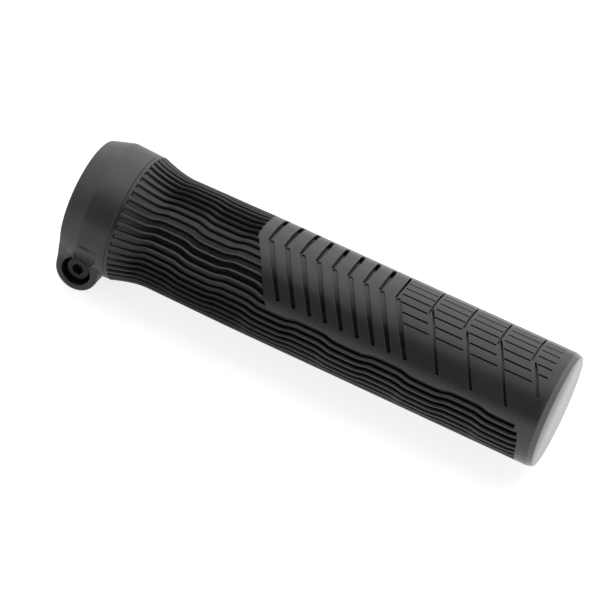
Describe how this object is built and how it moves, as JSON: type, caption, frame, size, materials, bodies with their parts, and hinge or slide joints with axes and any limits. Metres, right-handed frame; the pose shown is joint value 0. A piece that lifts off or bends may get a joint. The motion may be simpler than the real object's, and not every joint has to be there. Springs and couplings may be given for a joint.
{
  "type": "handlebar grip",
  "caption": "Lock-on bicycle handlebar grip: ribbed rubber sleeve with a closed outboard end over a core tube, held on the bar by a split clamp collar with a socket-head screw.",
  "frame": {"origin": "centre of the closed outboard end face, on the bar axis", "axes": "+X outboard along the bar axis; +Z away from the clamp lug, so the chevron pad is on top; the screw head faces -Y"},
  "size_m": [0.135, 0.0356, 0.0377],
  "materials": {
    "rubber": "matte moulded rubber",
    "core_plastic": "satin moulded nylon",
    "collar_metal": "dark anodised satin",
    "screw_steel": "black oxide"
  },
  "bodies": {
    "root": {"grip_sleeve": "rubber", "core_sleeve": "core_plastic", "clamp_collar": "collar_metal", "clamp_screw": "screw_steel"}
  },
  "joints": []
}
